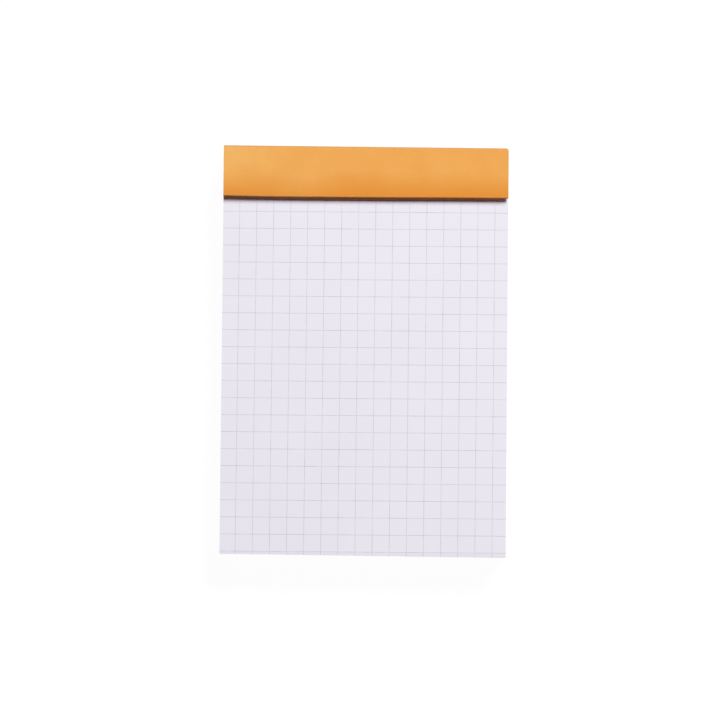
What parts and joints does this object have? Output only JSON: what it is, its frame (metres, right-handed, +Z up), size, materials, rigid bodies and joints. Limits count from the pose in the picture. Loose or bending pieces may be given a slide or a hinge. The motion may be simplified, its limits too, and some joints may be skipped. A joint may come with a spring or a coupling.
{
  "type": "legal pad",
  "caption": "Small head-stapled pad of squared paper with a stiff back and an orange card cover folded right round the head.",
  "frame": {"origin": "on the table under the middle of the pad's outline", "axes": "+X to the right when the pad is read, +Y towards the stapled head, +Z up from the table out of the ruled face"},
  "size_m": [0.0838, 0.1204, 0.0113],
  "materials": {
    "paper": "smooth uncoated writing paper, faintly cool white, ruled in pale violet squares",
    "grey_board": "unprinted grey-brown board of pressed fibre",
    "orange_card": "dyed orange card, matt inside and lightly coated outside",
    "staple_wire": "plain drawn wire"
  },
  "bodies": {
    "pad": {"sheet_block": "paper", "backing_board": "grey_board", "cover": "orange_card", "staple_left": "staple_wire", "staple_right": "staple_wire"},
    "flap": {"cover_flap": "orange_card"}
  },
  "joints": [
    {"name": "cover_hinge", "type": "hinge", "parent": "pad", "child": "flap", "pos_m": [0, 0.06008, 0.00017], "axis": [1, 0, 0], "range_deg": [0, 180]}
  ]
}
